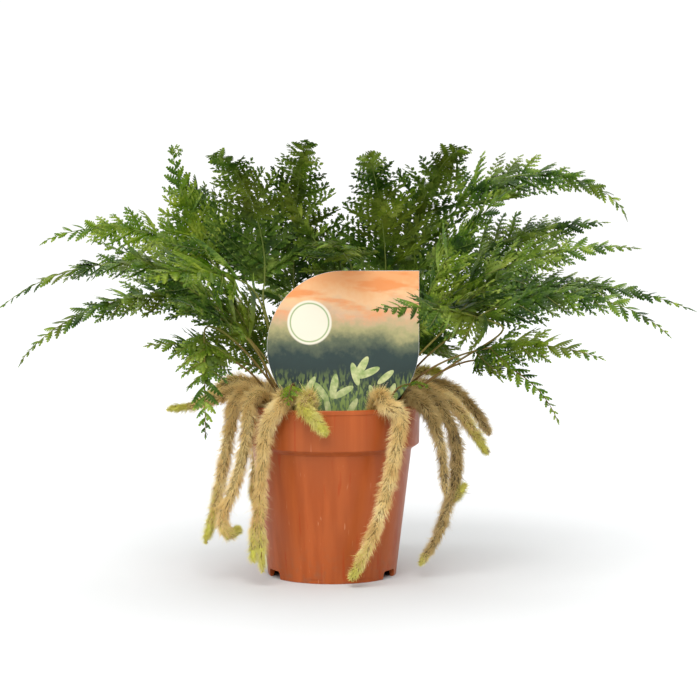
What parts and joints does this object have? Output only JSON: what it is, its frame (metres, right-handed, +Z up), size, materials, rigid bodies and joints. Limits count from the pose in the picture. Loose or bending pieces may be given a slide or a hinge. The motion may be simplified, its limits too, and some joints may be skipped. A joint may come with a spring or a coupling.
{
  "type": "potted fern",
  "caption": "Hare's-foot fern in a tapered plastic nursery pot, with feathery fronds, furry rhizomes that hang over the rim and a drop-shaped plant label.",
  "frame": {"origin": "middle of the flat pad under the pot, on the surface that the pot stands on", "axes": "+Z up, -Y towards the front of the plant, where the label stands, +X to the right seen from the front"},
  "size_m": [0.4625, 0.3121, 0.2909],
  "materials": {
    "pot": "satin",
    "soil": "matte",
    "label": "satin",
    "rhizome": "matte",
    "leaf": "satin",
    "young_leaf": "satin"
  },
  "bodies": {
    "root": {"pot": "pot", "soil": "soil", "label": "label", "rhizome_front_right": "rhizome", "rhizome_front_left_short": "rhizome", "rhizome_front_left_long": "rhizome", "rhizome_left_hooked": "rhizome", "rhizome_left_long": "rhizome", "rhizome_left_level": "rhizome", "rhizome_left_upper": "rhizome", "rhizome_right_short": "rhizome", "rhizome_right_long": "rhizome", "rhizome_right_arched": "rhizome", "rhizome_right_outer": "rhizome", "rhizome_right_upper": "rhizome", "rhizome_back_right": "rhizome", "rhizome_back_middle": "rhizome", "rhizome_back_left": "rhizome", "rhizome_back_left_long": "rhizome", "frond_left_long": "leaf", "frond_left_low": "leaf", "frond_left_pale": "young_leaf", "frond_left_crozier": "young_leaf", "frond_left_upright": "leaf", "frond_left_inner_high": "leaf", "frond_left_inner_front": "leaf", "frond_front_left_droop": "leaf", "frond_front_left_pale": "young_leaf", "frond_front_left_low": "leaf", "frond_front_left_fan": "leaf", "frond_middle_left_tall": "leaf", "frond_middle_reach": "leaf", "frond_middle_front": "leaf", "frond_middle_right_tall": "leaf", "frond_right_tall": "leaf", "frond_right_inner_front": "leaf", "frond_right_arch": "leaf", "frond_right_mid": "leaf", "frond_right_back": "leaf", "frond_right_long": "leaf", "frond_right_low_long": "leaf", "frond_right_flat": "leaf", "frond_right_low": "leaf", "frond_front_right_fan": "leaf", "frond_front_label": "leaf", "frond_back_left": "leaf", "frond_back_left_high": "leaf", "frond_back_middle_left": "leaf", "frond_back_middle": "leaf", "frond_back_middle_right": "leaf", "frond_back_right_high": "leaf", "frond_back_right": "leaf", "frond_back_low_left": "leaf", "frond_back_low_right": "leaf", "frond_left_base": "leaf", "frond_right_base": "leaf", "frond_right_base_back": "leaf", "frond_front_left_sprout": "young_leaf", "frond_front_right_sprout": "young_leaf"}
  },
  "joints": []
}
